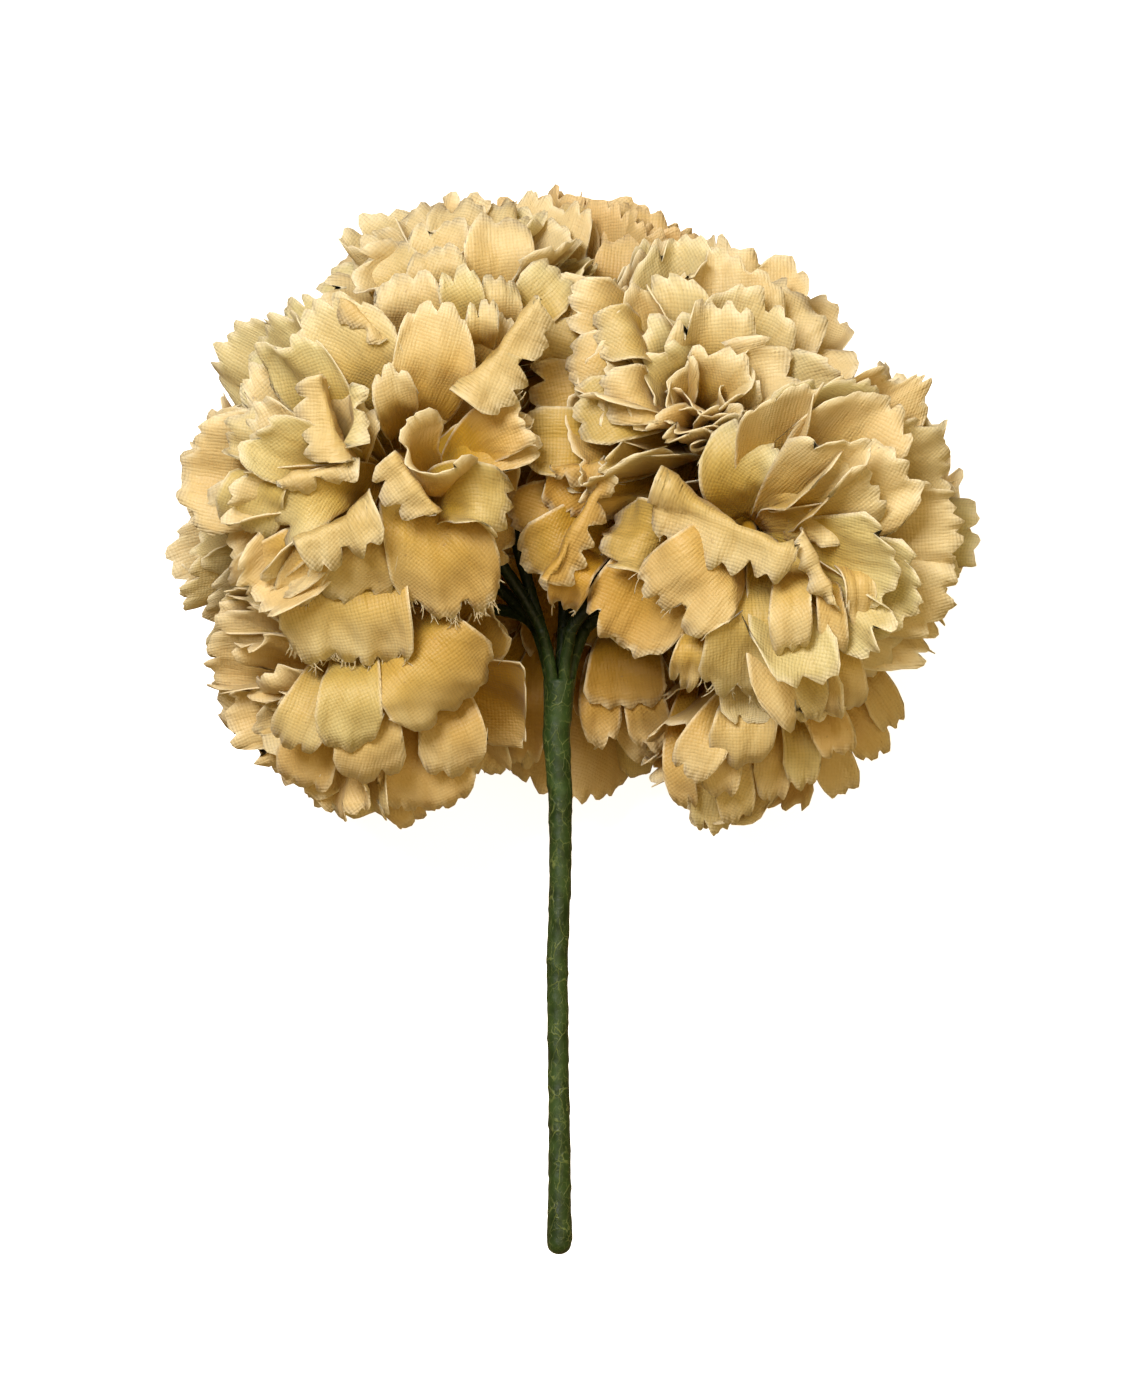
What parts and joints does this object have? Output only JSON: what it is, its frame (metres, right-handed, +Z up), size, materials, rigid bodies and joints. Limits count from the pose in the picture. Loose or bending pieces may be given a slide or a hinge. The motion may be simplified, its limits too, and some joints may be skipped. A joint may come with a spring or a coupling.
{
  "type": "bunch of fabric carnations",
  "caption": "Ball-shaped bunch of gold fabric carnations with toothed petals, on taped wire stems joined in one straight green shaft.",
  "frame": {"origin": "under the middle of the bunch, on the surface that its lowest petals lie on", "axes": "+Y from the tip of the stem to the blooms, +Z up, through the front of the bunch as it lies on its back"},
  "size_m": [0.095, 0.129, 0.0664],
  "materials": {
    "petal_cloth": "plain-woven cloth, old gold, pinked edge",
    "floral_tape": "waxed crepe tape, dark green",
    "stem_wire": "drawn wire"
  },
  "bodies": {
    "root": {"bloom_front_left": "petal_cloth", "bloom_front_right": "petal_cloth", "bloom_upper_right": "petal_cloth", "bloom_upper_left": "petal_cloth", "bloom_top_back": "petal_cloth", "bloom_right": "petal_cloth", "bloom_lower_left": "petal_cloth", "bloom_lower_right": "petal_cloth", "bloom_back": "petal_cloth", "bloom_left": "petal_cloth", "branch_front_left": "floral_tape", "branch_front_right": "floral_tape", "branch_right": "floral_tape", "branch_back": "floral_tape", "branch_left": "floral_tape", "stem_shaft": "floral_tape", "wire_core": "stem_wire"}
  },
  "joints": []
}
